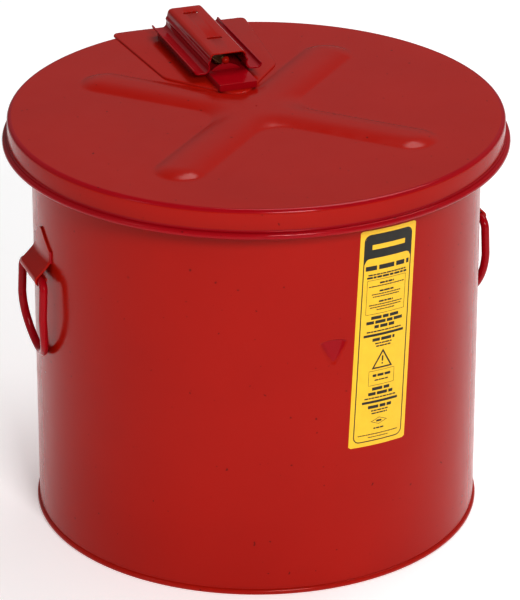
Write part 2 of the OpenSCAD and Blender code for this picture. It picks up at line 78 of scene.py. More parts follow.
LID_R = high("lid_panel").x
BEAD_LOW_Z = low("lid_panel").z
CROSS_TOP_Z = high("lid_panel").z
PLATE_TOP_Z = low("link_bracket").z
LID_TOP_Z = PLATE_TOP_Z - PLATE_T
HINGE = (low("hinge_pin") + high("hinge_pin")) / 2


# ---- mesh helpers ----

def polar(r, angle, z):
    return Vector((r * math.cos(angle), r * math.sin(angle), z))


def arc(cx, cy, r, start, end, steps):
    """Points along an arc in a plane, angles in degrees."""
    points = []
    for i in range(steps + 1):
        a = math.radians(start + (end - start) * i / steps)
        points.append((cx + r * math.cos(a), cy + r * math.sin(a)))
    return points


def smoothstep(edge0, edge1, x):
    t = min(max((x - edge0) / (edge1 - edge0), 0.0), 1.0)
    return t * t * (3 - 2 * t)


def finish_mesh(obj, sharp_deg=35):
    """Smooth shading with creases only where faces meet sharply."""
    mesh = obj.data
    mesh.polygons.foreach_set("use_smooth", [True] * len(mesh.polygons))
    mesh.set_sharp_from_angle(angle=math.radians(sharp_deg))
    mesh.update()


def solid(name, verts, faces):
    """A new object of these vertices and faces, with its normals outwards."""
    mesh = bpy.data.meshes.new(name)
    mesh.from_pydata([tuple(v) for v in verts], [], faces)
    mesh.validate()
    build = bmesh.new()
    build.from_mesh(mesh)
    bmesh.ops.recalc_face_normals(build, faces=build.faces)
    build.to_mesh(mesh)
    build.free()
    obj = bpy.data.objects.new(name, mesh)
    bpy.context.scene.collection.objects.link(obj)
    return obj


def make(name, verts, faces, body, material, slot="red_paint", replaces=(), sharp_deg=35,
         painted_shade_faces=None):
    """A piece that rides on a body and stands for CAD nodes. A face test, where given, picks the faces painted in
    the darker red of painted shade.
    """
    obj = solid(name, verts, faces)
    obj.data.materials.append(material)
    if painted_shade_faces:
        obj.data.materials.append(SHADED_RED)
        for face in obj.data.polygons:
            face.material_index = int(painted_shade_faces(face.center))
    finish_mesh(obj, sharp_deg)
    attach(obj, body)
    if replaces:
        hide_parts(*replaces)
    return obj


def apply_modifiers(obj):
    """Turns the modifiers' result into the piece's own mesh."""
    bpy.context.view_layer.update()
    evaluated = obj.evaluated_get(bpy.context.evaluated_depsgraph_get())
    mesh = bpy.data.meshes.new_from_object(evaluated)
    obj.modifiers.clear()
    obj.data = mesh
    finish_mesh(obj)


def bevel(obj, width, segments=2, angle_deg=40):
    """Rounds the piece's sharp edges."""
    modifier = obj.modifiers.new("bevel", "BEVEL")
    modifier.width = width
    modifier.segments = segments
    modifier.limit_method = "ANGLE"
    modifier.angle_limit = math.radians(angle_deg)
    modifier.use_clamp_overlap = True
    apply_modifiers(obj)


def grid_faces(rows, cols, closed_rows=False, closed_cols=False):
    """Quads of a grid of rows by cols vertices, joined end to end where it is closed."""
    faces = []
    for i in range(rows if closed_rows else rows - 1):
        for j in range(cols if closed_cols else cols - 1):
            here, after = i * cols, (i + 1) % rows * cols
            left, right = j, (j + 1) % cols
            faces.append((here + left, here + right, after + right, after + left))
    return faces


def lathe(profile, angles):
    """A closed profile of (r, z) turned round the tank's axis."""
    verts = [polar(r, a, z) for r, z in profile for a in angles]
    return verts, grid_faces(len(profile), len(angles), closed_rows=True, closed_cols=True)


def even_angles(count):
    return [2 * math.pi * i / count for i in range(count)]


def thicken(line, thickness):
    """The closed outline of a sheet whose middle line is given, as (u, v) points."""
    left, right = [], []
    for i, point in enumerate(line):
        ahead = line[min(i + 1, len(line) - 1)]
        behind = line[max(i - 1, 0)]
        du, dv = ahead[0] - behind[0], ahead[1] - behind[1]
        length = math.hypot(du, dv)
        nu, nv = -dv / length * thickness / 2, du / length * thickness / 2
        left.append((point[0] + nu, point[1] + nv))
        right.append((point[0] - nu, point[1] - nv))
    return left + right[::-1]


def tube(path, r, sides, closed=False):
    """Vertices and faces of a round rod along a path of points."""
    verts = []
    count = len(path)
    side = None
    for i, point in enumerate(path):
        ahead = path[(i + 1) % count] if closed else path[min(i + 1, count - 1)]
        behind = path[i - 1] if closed or i else path[0]
        along = (ahead - behind).normalized()
        if side is None:
            side = along.orthogonal().normalized()
        side = (side - along * side.dot(along)).normalized()
        up = along.cross(side)
        for k in range(sides):
            a = 2 * math.pi * k / sides
            verts.append(point + r * (math.cos(a) * side + math.sin(a) * up))
    faces = grid_faces(count, sides, closed_rows=closed, closed_cols=True)
    if not closed:
        faces.append(tuple(range(sides))[::-1])
        faces.append(tuple(range((count - 1) * sides, count * sides)))
    return verts, faces


def flat_on(u, v, depth):
    """Puts an outline level: u along x, v along y."""
    return Vector((u, v, depth))


def facing_front(u, v, depth):
    """Puts an outline upright across the front: u along x, v up."""
    return Vector((u, depth, v))


def facing_side(u, v, depth):
    """Puts an outline upright from front to back: u along y, v up."""
    return Vector((depth, u, v))


def mirrored(half):
    """The closed outline of a half outline and its mirror image in x."""
    return half + [(-x, y) for x, y in half[::-1]]


def join(*parts):
    """Several (verts, faces) as one."""
    verts, faces = [], []
    for part_verts, part_faces in parts:
        start = len(verts)
        verts += part_verts
        faces += [tuple(start + i for i in face) for face in part_faces]
    return verts, faces


def prism(outline, place, depth0, depth1):
    """A flat outline of (u, v) points carried between two depths. place(u, v, depth) gives the point."""
    count = len(outline)
    verts = [place(u, v, depth0) for u, v in outline] + [place(u, v, depth1) for u, v in outline]
    faces = [tuple(range(count))[::-1], tuple(range(count, 2 * count))]
    for i in range(count):
        n = (i + 1) % count
        faces.append((i, n, count + n, count + i))
    return verts, faces


# ---- materials ----

NOISE_SPREAD = (0.3, 0.7)


class Nodes:
    """Short ways to add shader nodes to a material."""

    def __init__(self, name):
        self.material = bpy.data.materials.new(name)
        self.material.use_nodes = True
        self.tree = self.material.node_tree
        self.shader = self.tree.nodes["Principled BSDF"]

    def add(self, kind, **values):
        node = self.tree.nodes.new(kind)
        for key, value in values.items():
            setattr(node, key, value)
        return node

    def link(self, out, into):
        self.tree.links.new(out, into)

    def set(self, **values):
        """Sets the shader's own sockets, such as IOR=1.4."""
        for key, value in values.items():
            self.shader.inputs[key.replace("_", " ")].default_value = value

    def place(self):
        """The point on the piece in its own frame, in metres."""
        return self.add("ShaderNodeTexCoord").outputs["Object"]

    def noise(self, scale, detail=2.0, stretch=None):
        """A noise value with features about 1/scale metres across."""
        source = self.place()
        if stretch:
            mapping = self.add("ShaderNodeMapping")
            mapping.inputs["Scale"].default_value = stretch
            self.link(source, mapping.inputs["Vector"])
            source = mapping.outputs["Vector"]
        node = self.add("ShaderNodeTexNoise")
        node.inputs["Scale"].default_value = scale
        node.inputs["Detail"].default_value = detail
        node.inputs["Roughness"].default_value = 0.5
        self.link(source, node.inputs["Vector"])
        return node.outputs["Fac"]

    def ramp(self, value, stops):
        """A colour ramp: stops are (position, colour)."""
        node = self.add("ShaderNodeValToRGB")
        while len(node.color_ramp.elements) < len(stops):
            node.color_ramp.elements.new(0.5)
        for element, (position, colour) in zip(node.color_ramp.elements, stops):
            element.position = position
            element.color = (*colour, 1)
        self.link(value, node.inputs["Fac"])
        return node.outputs["Color"]

    def span(self, value, to_min, to_max):
        """A noise value, which lies mostly in NOISE_SPREAD, mapped to a range."""
        node = self.add("ShaderNodeMapRange")
        node.inputs["From Min"].default_value, node.inputs["From Max"].default_value = NOISE_SPREAD
        node.inputs["To Min"].default_value = to_min
        node.inputs["To Max"].default_value = to_max
        self.link(value, node.inputs["Value"])
        return node.outputs["Result"]

    def mix(self, factor, first, second):
        node = self.add("ShaderNodeMix", data_type="RGBA")
        sockets = [node.inputs[0], node.inputs[6], node.inputs[7]]
        for socket, value in zip(sockets, (factor, first, second)):
            if isinstance(value, tuple):
                socket.default_value = (*value, 1)
            else:
                self.link(value, socket)
        return node.outputs[2]

    def bump(self, heights):
        """Adds bumps: heights is a list of (value, height in metres)."""
        normal = None
        for value, height in heights:
            node = self.add("ShaderNodeBump")
            node.inputs["Distance"].default_value = height
            self.link(value, node.inputs["Height"])
            if normal:
                self.link(normal, node.inputs["Normal"])
            normal = node.outputs["Normal"]
        self.link(normal, self.shader.inputs["Normal"])


def red_paint(name, base, deep, roughness):
    """Sprayed gloss enamel: fine orange peel, slow colour drift, gloss that varies, and a few dust specks."""
    n = Nodes(name)
    drift = n.noise(11.0, detail=4.0)
    colour = n.ramp(drift, [(0.32, deep), (0.68, base)])
    dust = n.ramp(n.noise(260.0, detail=1.0), [(0.76, (0, 0, 0)), (0.80, (1, 1, 1))])
    colour = n.mix(dust, colour, tuple(0.45 * c for c in deep))
    n.link(colour, n.shader.inputs["Base Color"])
    gloss = n.span(n.noise(70.0, detail=4.0), roughness - 0.04, roughness + 0.05)
    n.link(gloss, n.shader.inputs["Roughness"])
    n.bump([(n.noise(12.0, detail=1.0), 0.25 * MM), (n.noise(480.0, detail=1.5), 0.010 * MM)])
    n.set(IOR=1.26)
    return n.material


def bare_steel(name, base, roughness, brushed=(1, 1, 1)):
    """Zinc-plated steel with fine drawn lines and faint blotches."""
    n = Nodes(name)
    blotch = n.noise(45.0, detail=4.0)
    n.link(n.ramp(blotch, [(0.3, tuple(c * 0.80 for c in base)), (0.7, base)]), n.shader.inputs["Base Color"])
    lines = n.noise(700.0, detail=2.0, stretch=brushed)
    n.link(n.span(lines, roughness - 0.06, roughness + 0.08), n.shader.inputs["Roughness"])
    n.bump([(lines, 0.01 * MM)])
    n.set(Metallic=1.0)
    return n.material


def film(name, base, deep, roughness):
    """Printed vinyl film: slight mottling of the ink and a soft waviness."""
    n = Nodes(name)
    mottle = n.noise(160.0, detail=3.0)
    n.link(n.ramp(mottle, [(0.3, deep), (0.7, base)]), n.shader.inputs["Base Color"])
    n.link(n.span(n.noise(300.0), roughness - 0.04, roughness + 0.05), n.shader.inputs["Roughness"])
    n.bump([(n.noise(70.0), 0.03 * MM)])
    n.set(IOR=1.45)
    return n.material


RED = red_paint("red_paint", (0.385, 0.0088, 0.0028), (0.362, 0.0076, 0.0023), 0.19)
# Painted shade: a darker, bluer copy of the red paint for faces turned away from the light and its grey
# reflections, such as the handles, the lid's bead and crease and the channel's sides.
SHADED_RED = red_paint("red_paint_shaded", (0.350, 0.0020, 0.0085), (0.318, 0.0017, 0.0073), 0.15)
ZINC = bare_steel("zinc_plate", (0.72, 0.73, 0.74), 0.32)
BRASS = bare_steel("sheet_brass", (0.70, 0.50, 0.20), 0.30, brushed=(1, 0.05, 1))
SOLDER = bare_steel("soft_solder", (0.48, 0.49, 0.51), 0.5)
YELLOW = film("label_yellow", (0.88, 0.545, 0.028), (0.84, 0.51, 0.024), 0.36)
BLACK = film("label_black", (0.012, 0.011, 0.008), (0.020, 0.018, 0.012), 0.38)


# ---- camera, floor and light ----

SKY = ((0.02, 0.17), (0.42, 0.47), (0.9, 0.22))
AIM = (0, 0, 0.2)
CAMERA_PLACE = (-0.93624, -2.64387, 1.48088)
CAMERA_AIM = Vector((0, 0, 0.15255))
LENS_MM = 271.3
LENS_SHIFT = (0.0072, 0.0341)
FLOOR_HALF = 30
FLOOR_GLOW = 0.3


def sky_gradient():
    """A studio surround in grey tones: SKY lists (height, tone) from the horizon to overhead."""
    world = bpy.data.worlds.new("studio")
    bpy.context.scene.world = world
    world.use_nodes = True
    tree = world.node_tree
    place = tree.nodes.new("ShaderNodeTexCoord")
    split = tree.nodes.new("ShaderNodeSeparateXYZ")
    shade = tree.nodes.new("ShaderNodeValToRGB")
    tree.links.new(place.outputs["Generated"], split.inputs["Vector"])
    tree.links.new(split.outputs["Z"], shade.inputs["Fac"])
    tree.links.new(shade.outputs["Color"], tree.nodes["Background"].inputs["Color"])
    shade.color_ramp.elements.new(0.5)
    for element, (height, tone) in zip(shade.color_ramp.elements, SKY):
        element.position = height
        element.color = (tone, tone, tone, 1)


def softbox(name, place, aim, width, height, watts):
    """A rectangular studio light that looks at a point."""
    light = bpy.data.lights.new(name, "AREA")
    light.shape = "RECTANGLE"
    light.size = width
    light.size_y = height
    light.energy = watts
    box = bpy.data.objects.new(name, light)
    bpy.context.scene.collection.objects.link(box)
    box.location = place
    box.rotation_euler = (Vector(aim) - Vector(place)).to_track_quat("-Z", "Y").to_euler()


def stage():
    camera = bpy.data.objects.new("camera", bpy.data.cameras.new("camera"))
    bpy.context.scene.collection.objects.link(camera)
    camera.location = CAMERA_PLACE
    camera.rotation_euler = (CAMERA_AIM - camera.location).to_track_quat("-Z", "Y").to_euler()
    camera.data.sensor_fit = "HORIZONTAL"
    camera.data.sensor_width = 36
    camera.data.lens = LENS_MM
    camera.data.shift_x, camera.data.shift_y = LENS_SHIFT
    camera.data.clip_end = 2 * FLOOR_HALF
    bpy.context.scene.camera = camera
    bpy.context.scene.view_settings.view_transform = "Standard"
    bpy.context.scene.view_settings.gamma = 0.85

    corners = [(x * FLOOR_HALF, y * FLOOR_HALF, 0) for x, y in ((-1, -1), (1, -1), (1, 1), (-1, 1))]
    floor_mesh = bpy.data.meshes.new("floor")
    floor_mesh.from_pydata(corners, [], [(0, 1, 2, 3)])
    floor = bpy.data.objects.new("floor", floor_mesh)
    bpy.context.scene.collection.objects.link(floor)
    n = Nodes("floor_white")
    n.link(n.ramp(n.noise(3.0), [(0.3, (0.93, 0.93, 0.93)), (0.7, (0.95, 0.95, 0.95))]),
           n.shader.inputs["Base Color"])
    n.set(Roughness=0.9)
    n.shader.inputs["Emission Color"].default_value = (1, 1, 1, 1)
    n.shader.inputs["Emission Strength"].default_value = FLOOR_GLOW
    floor.data.materials.append(n.material)

    sky_gradient()
    softbox("key", (-0.1, -2.4, 1.7), (0, 0, 0.15), 0.85, 0.6, 46)
    softbox("left", (-2.1, -0.6, 1.2), AIM, 0.35, 1.5, 3)
    softbox("right", (2.1, -1.0, 1.3), AIM, 0.35, 1.5, 0.6)
    softbox("top", (0.8, 0.5, 2.3), AIM, 1.6, 1.0, 26)


stage()


# ---- tank ----

MARK_TOP_Z = 211.5 * MM
MARK_W = 24 * MM
MARK_H = 21 * MM
MARK_DEPTH = 2.6 * MM
SEAM_TOP_Z = 253.5 * MM
SEAM_R = 1.1 * MM


def mark_dent(angle, z):
    """How far the pressed fill mark pushes the wall in: a rounded triangle, deepest under its top edge."""
    s = (angle - FRONT) * WALL_R
    v = z - (MARK_TOP_Z - MARK_H)
    if v < -2 * MM or v > MARK_H + 3 * MM or abs(s) > MARK_W:
        return 0.0
    top = MARK_H * (1 - 0.10 * (2 * s / MARK_W) ** 2)
    rise = min(max(v / MARK_H, 0.0), 1.0)
    half = MARK_W / 2 * (0.12 + 0.88 * rise ** 0.8)
    across = smoothstep(half + 1.5 * MM, half - 4.5 * MM, abs(s))
    below_edge = smoothstep(top + 1.0 * MM, top - 1.0 * MM, v)
    depth = MARK_DEPTH * (0.25 + 0.75 * rise) * smoothstep(-0.5 * MM, 3 * MM, v)
    return depth * across * below_edge


def tank_shell():
    wall_mid = WALL_R - TANK_SHEET / 2
    roll_mid_r = WALL_IN_R + RIM_ROLL_R
    roll_mid_z = RIM_Z - RIM_ROLL_R
    # The grid is finer round the fill mark, both up the wall and round it
    z = CHIME_R
    heights = [z]
    while z < roll_mid_z - 2 * MM:
        near_mark = MARK_TOP_Z - MARK_H - 3 * MM < z < MARK_TOP_Z + 3 * MM
        z += 0.6 * MM if near_mark else 4 * MM
        heights.append(z)
    line = [(wall_mid, h) for h in heights]
    line += arc(roll_mid_r, roll_mid_z, RIM_ROLL_R - TANK_SHEET / 2, 180, -110, 24)
    profile = thicken(line, TANK_SHEET)
    angles = []
    degrees = -180.0
    while degrees < 180:
        angles.append(math.radians(degrees))
        near_mark = abs(degrees - math.degrees(FRONT)) < 5.5
        degrees += 0.25 if near_mark else 1.0
    verts = []
    for r, h in profile:
        for angle in angles:
            dent = mark_dent(angle, h) if r < WALL_R + 0.1 * MM else 0.0
            verts.append(polar(r - dent, angle, h))
    faces = grid_faces(len(profile), len(angles), closed_rows=True, closed_cols=True)
    seam_path = [polar(WALL_R + 0.1 * MM, math.pi / 2, h) for h in
                 [2 * CHIME_R + (SEAM_TOP_Z - 2 * CHIME_R) * i / 60 for i in range(61)]]
    seam = tube(seam_path, SEAM_R, 10)
    # The faces deep in the pressed fill mark get painted shade, the darker red.
    make("tank_wall", verts, faces, "tank", RED, replaces=["tank_shell"], sharp_deg=50,
         painted_shade_faces=lambda centre: mark_dent(math.atan2(centre.y, centre.x), centre.z) > 0.35 * MARK_DEPTH)
    make("tank_seam_weld", *seam, "tank", RED)


def tank_base():
    mid_r = WALL_R - TANK_SHEET / 2
    ring = arc(mid_r, CHIME_R - 0.2 * MM, CHIME_R, -80, 260, 24)
    make("bottom_bead", *lathe(ring, even_angles(360)), "tank", RED, replaces=["bottom_chime"], sharp_deg=60)
    flange_r = WALL_IN_R - TANK_SHEET / 2
    line = [(flange_r, CHIME_R), (flange_r, BOTTOM_Z - 2 * MM)]
    line += arc(flange_r - 2.5 * MM, BOTTOM_Z - 2 * MM, 2.5 * MM, 0, 90, 6)
    line += [(r * flange_r, BOTTOM_Z + 0.5 * MM - 0.6 * MM * smoothstep(0.9, 0.8, r)) for r in
             (0.93, 0.9, 0.87, 0.84, 0.8, 0.6, 0.4, 0.2, 0.02)]
    profile = thicken(line, TANK_SHEET)
    make("tank_floor_pan", *lathe(profile, even_angles(240)), "tank", RED, replaces=["tank_bottom"])


tank_shell()
tank_base()


# ---- lid ----

SKIRT_R = 192.7 * MM
CROSS_W = 40 * MM
CROSS_REACH = 150 * MM
CROSS_H = CROSS_TOP_Z - LID_TOP_Z
CROSS_FILLET = 26 * MM
CROSS_POWER = 2.6
CROSS_SOFT = 0.12


def cross_height(x, y):
    """Height of the pressed cross at a point of the lid: soft bars, round ends and filleted corners."""
    arm = CROSS_REACH - CROSS_W / 2
    gaps = []
    for turn in (45, 135):
        a = math.radians(turn)
        along = x * math.cos(a) + y * math.sin(a)
        across = -x * math.sin(a) + y * math.cos(a)
        beyond = max(abs(along) - arm, 0.0)
        gaps.append(math.hypot(beyond, across))
    first, second = gaps
    near = max(CROSS_FILLET - abs(first - second), 0.0) / CROSS_FILLET
    gap = min(first, second) - near * near * CROSS_FILLET / 4
    dip = 1 - (max(gap, 0.0) / (CROSS_W / 2)) ** CROSS_POWER
    return CROSS_H * min((dip + math.sqrt(dip * dip + CROSS_SOFT * CROSS_SOFT)) / 2, 1.0)


def lid_panel():
    bead_r = (LID_R - (SKIRT_R - LID_SHEET)) / 2
    bead_mid = LID_R - bead_r
    bead_z = BEAD_LOW_Z + bead_r
    crease = 3.5 * MM
    skirt = SKIRT_R - LID_SHEET / 2
    flat = skirt - crease + LID_SHEET / 2
    mid_z = LID_TOP_Z - LID_SHEET / 2
    line = [(share * flat, mid_z) for share in [0.004] + [i / 120 for i in range(1, 121)]]
    line += arc(flat, mid_z - crease + LID_SHEET / 2, crease - LID_SHEET / 2, 80, 0, 8)
    line += [(skirt, mid_z - 10 * MM), (skirt, bead_z + 4.2 * MM)]
    line += arc(skirt + 1.6 * MM, bead_z + 3.6 * MM, 1.6 * MM, 180, 240, 4)
    line += arc(bead_mid, bead_z, bead_r - LID_SHEET / 2, 110, -190, 22)
    profile = thicken(line, LID_SHEET)
    angles = even_angles(480)
    verts = []
    for r, h in profile:
        for angle in angles:
            on_top = h > LID_TOP_Z - 1.5 * LID_SHEET and r < CROSS_REACH + 25 * MM
            lift = cross_height(r * math.cos(angle), r * math.sin(angle)) if on_top else 0.0
            verts.append(polar(r, angle, h + lift))
    faces = grid_faces(len(profile), len(angles), closed_rows=True, closed_cols=True)
    bead_top = bead_z + bead_r + 1.5 * MM
    crease_in, crease_low = flat - 0.6 * MM, LID_TOP_Z - 2.2 * MM

    # Painted shade: the bead and the crease round the top get the darker red.
    def painted_shade_faces(centre):
        r = math.hypot(centre.x, centre.y)
        return centre.z < bead_top or (r > crease_in and centre.z > crease_low)

    make("lid", verts, faces, "lid", RED, replaces=["lid_panel"], sharp_deg=60, painted_shade_faces=painted_shade_faces)


lid_panel()


# ---- bent sheet, turned and printed parts ----

def sheet_metal(name, rows, body, material, thickness, replaces=(), skip=(), edge=0.35 * MM, slot="red_paint",
                painted_shade_faces=None):
    """A bent sheet from its middle surface, a grid of points, without the cells named in skip."""
    count = len(rows[0])
    points = [p for row in rows for p in row]
    faces = []
    for i in range(len(rows) - 1):
        for j in range(count - 1):
            if (i, j) not in skip:
                faces.append((i * count + j, i * count + j + 1, (i + 1) * count + j + 1, (i + 1) * count + j))
    used = sorted({k for face in faces for k in face})
    place = {k: n for n, k in enumerate(used)}
    obj = make(name, [points[k] for k in used], [tuple(place[k] for k in f) for f in faces], body, material,
               slot=slot, replaces=replaces, painted_shade_faces=painted_shade_faces)
    solid = obj.modifiers.new("sheet", "SOLIDIFY")
    solid.thickness = thickness
    solid.offset = 0
    solid.use_even_offset = True
    apply_modifiers(obj)
    bevel(obj, edge, segments=2, angle_deg=60)
    return obj


def spun(stations, place, sides=32, closed=False):
    """A turned part of (distance along the axis, radius) stations. place(along, u, v) gives the point."""
    verts = []
    for along, r in stations:
        for k in range(sides):
            a = 2 * math.pi * k / sides
            verts.append(place(along, r * math.cos(a), r * math.sin(a)))
    faces = grid_faces(len(stations), sides, closed_rows=closed, closed_cols=True)
    if not closed:
        faces.append(tuple(range(sides))[::-1])
        faces.append(tuple(range((len(stations) - 1) * sides, len(stations) * sides)))
    return verts, faces


def dome(r, h, steps=8):
    """Stations of a round head of radius r and height h, from its crown to its rim."""
    ball = (r * r + h * h) / (2 * h)
    reach = math.asin(min(r / ball, 1.0))
    return [(ball * (1 - math.cos(reach * i / steps)), max(ball * math.sin(reach * i / steps), 0.05 * MM))
            for i in range(steps + 1)]


def rounded(outline, r):
    """A polygon with its corners rounded."""
    steps = 5
    points = []
    count = len(outline)
    for i in range(count):
        corner = Vector(outline[i])
        back = Vector(outline[i - 1]) - corner
        ahead = Vector(outline[(i + 1) % count]) - corner
        reach = min(r, back.length / 2.05, ahead.length / 2.05)
        start, end = corner + back.normalized() * reach, corner + ahead.normalized() * reach
        for k in range(steps + 1):
            t = k / steps
            points.append(tuple((1 - t) ** 2 * start + 2 * t * (1 - t) * corner + t * t * end))
    return points


def cut(obj, verts, faces):
    """Takes a solid away from a piece."""
    tool = solid("cutter", verts, faces)
    modifier = obj.modifiers.new("cut", "BOOLEAN")
    modifier.operation = "DIFFERENCE"
    modifier.solver = "EXACT"
    modifier.object = tool
    apply_modifiers(obj)
    bpy.data.objects.remove(tool)


def sag(across, r):
    """How far a round wall falls back at a distance from its middle."""
    return r - math.sqrt(r * r - across * across)


# ---- side handles ----

PIVOTS = {row["name"]: Vector(row["pos_m"]) for row in frame["joints"] if "pos_m" in row}
PIVOT = PIVOTS["handle_right_swing"]
ROD_R = 3.25 * MM
LEG_Y = high("handle_right").y - ROD_R
DROP = PIVOT.z - low("handle_right").z - ROD_R
BOWL_SHARE = 0.58
LEG_BEND = 7 * MM
BOW = 3.4 * MM
BOTTOM_OUT = WALL_R + ROD_R + 0.35 * MM - PIVOT.x
KNUCKLE_HALF = high("handle_ear_right").y
KNUCKLE_R = high("handle_ear_right").x - PIVOT.x
EAR_TOP_Z = high("handle_ear_right").z
EAR_SHOULDER_Z = PIVOT.z + 23 * MM
EAR_TIP_R = 5 * MM
EAR_SLOPE = math.radians(42)
WELD_LEN = 10 * MM
WELD_R = 1.0 * MM


def handle_loop(side):
    """Half of the rod's middle line, from the knuckle's middle to the bottom, mirrored into a closed loop."""
    bowl_z = PIVOT.z - DROP * (1 - BOWL_SHARE)
    half = [(LEG_Y * t, PIVOT.z) for t in (0.0, 0.25, 0.5, 0.7)]
    half += arc(LEG_Y - LEG_BEND, PIVOT.z - LEG_BEND, LEG_BEND, 90, 0, 8)
    steps = 26
    half += [(LEG_Y * math.cos(a), bowl_z - DROP * BOWL_SHARE * math.sin(a)) for a in
             [math.pi / 2 * i / steps for i in range(steps + 1)]]
    loop = half + [(-y, z) for y, z in half[-2:0:-1]]
    path = []
    for y, z in loop:
        share = (PIVOT.z - z) / DROP
        out = BOW * math.sin(math.pi * share) + BOTTOM_OUT * share
        path.append(Vector((side * (PIVOT.x + out), y, z)))
    return path


def ear_half_width(z):
    tip_z = EAR_TOP_Z - EAR_TIP_R
    rise = tip_z - EAR_SHOULDER_Z
    turn = math.acos(EAR_TIP_R / math.hypot(KNUCKLE_HALF, rise)) - math.atan2(rise, KNUCKLE_HALF)
    touch_y, touch_z = EAR_TIP_R * math.cos(turn), tip_z + EAR_TIP_R * math.sin(turn)
    if z <= EAR_SHOULDER_Z:
        return KNUCKLE_HALF
    if z < touch_z:
        t = (z - EAR_SHOULDER_Z) / (touch_z - EAR_SHOULDER_Z)
        return KNUCKLE_HALF + (touch_y - KNUCKLE_HALF) * t
    return math.sqrt(max(EAR_TIP_R ** 2 - (z - tip_z) ** 2, (0.8 * MM) ** 2))


def ear(side, name, node):
    """A plate on the wall that slopes out and curls over and round the handle's rod."""
    plate_x = WALL_R + PLATE_T / 2
    curl_r = KNUCKLE_R - PLATE_T / 2
    tangent = (PIVOT.x + curl_r * math.cos(EAR_SLOPE), PIVOT.z + curl_r * math.sin(EAR_SLOPE))
    run = (tangent[0] - plate_x) / math.sin(EAR_SLOPE)
    bend_z = tangent[1] + run * math.cos(EAR_SLOPE)
    bend = 4 * MM
    heights = [EAR_TOP_Z - 0.1 * MM - (EAR_TOP_Z - bend_z - bend) * i / 22 for i in range(23)]
    line = [(plate_x, z, 1.0) for z in heights]
    knee = [(plate_x, bend_z + bend), (plate_x, bend_z),
            (plate_x + bend * math.sin(EAR_SLOPE), bend_z - bend * math.cos(EAR_SLOPE))]
    for t in (0.25, 0.5, 0.75, 1.0):
        x, z = [(1 - t) ** 2 * knee[0][i] + 2 * t * (1 - t) * knee[1][i] + t * t * knee[2][i] for i in (0, 1)]
        line.append((x, z, 1 - 0.3 * t))
    for t in (0.35, 0.7):
        x = knee[2][0] + (tangent[0] - knee[2][0]) * t
        z = knee[2][1] + (tangent[1] - knee[2][1]) * t
        line.append((x, z, 0.7 * (1 - t / 1.4)))
    line += [(x, z, 0.0) for x, z in arc(PIVOT.x, PIVOT.z, curl_r, math.degrees(EAR_SLOPE), -196, 26)]
    cells = 16
    rows = []
    for x, z, follow in line:
        half = ear_half_width(z) if follow == 1.0 else KNUCKLE_HALF
        row = []
        for j in range(cells + 1):
            y = half * (2 * j / cells - 1)
            row.append(Vector((side * (x - follow * sag(y, WALL_R)), y, z)))
        rows.append(row)
    sheet_metal(name, rows, "tank", RED, PLATE_T, replaces=[node], edge=0.4 * MM)


def ear_welds(side, name):
    """Short weld beads where the plate's straight sides meet the wall."""
    parts = []
    ripple = 0.12 * MM
    for end in (-1, 1):
        y = end * (KNUCKLE_HALF + 0.3 * MM)
        r = WALL_R - sag(y, WALL_R) + 0.5 * MM
        path = []
        for i in range(15):
            z = EAR_SHOULDER_Z + 0.5 * MM - WELD_LEN * i / 14
            path.append(Vector((side * (r + ripple * math.sin(2.4 * i)), y, z)))
        parts.append(tube(path, WELD_R, 10))
    # The weld beads are in the darker red of painted shade.
    make(name, *join(*parts), "tank", SHADED_RED)


for side, word in ((-1, "left"), (1, "right")):
    # The handle rods are in the darker red of painted shade.
    make(f"{word}_handle_loop", *tube(handle_loop(side), ROD_R, 24, closed=True), f"{word}_handle", SHADED_RED,
         replaces=[f"handle_{word}"])
    ear(side, f"{word}_handle_ear", f"handle_ear_{word}")
    ear_welds(side, f"{word}_ear_welds")


# ---- rear hinge ----

BARREL_R = high("hinge_pin").z - HINGE.z
BARREL_HALF = high("rear_hinge_bracket").x
HINGE_END = low("pin_retainer").x - 0.3 * MM
SIDE_PLAY = 0.4 * MM
BACK_Y = high("rear_hinge_bracket").y
FLANGE_LOW_Z = low("rear_hinge_bracket").z
SHELF_Z = 292.5 * MM
CURL_R = BARREL_R - PLATE_T / 2


def across_x(line, x0, x1, cells):
    """Rows of a sheet: (y, z, follow) points carried along x, following the round wall where follow is 1."""
    rows = []
    for y, z, follow in line:
        row = []
        for j in range(cells + 1):
            x = x0 + (x1 - x0) * j / cells
            row.append(Vector((x, y - follow * sag(x, WALL_R), z)))
        rows.append(row)
    return rows


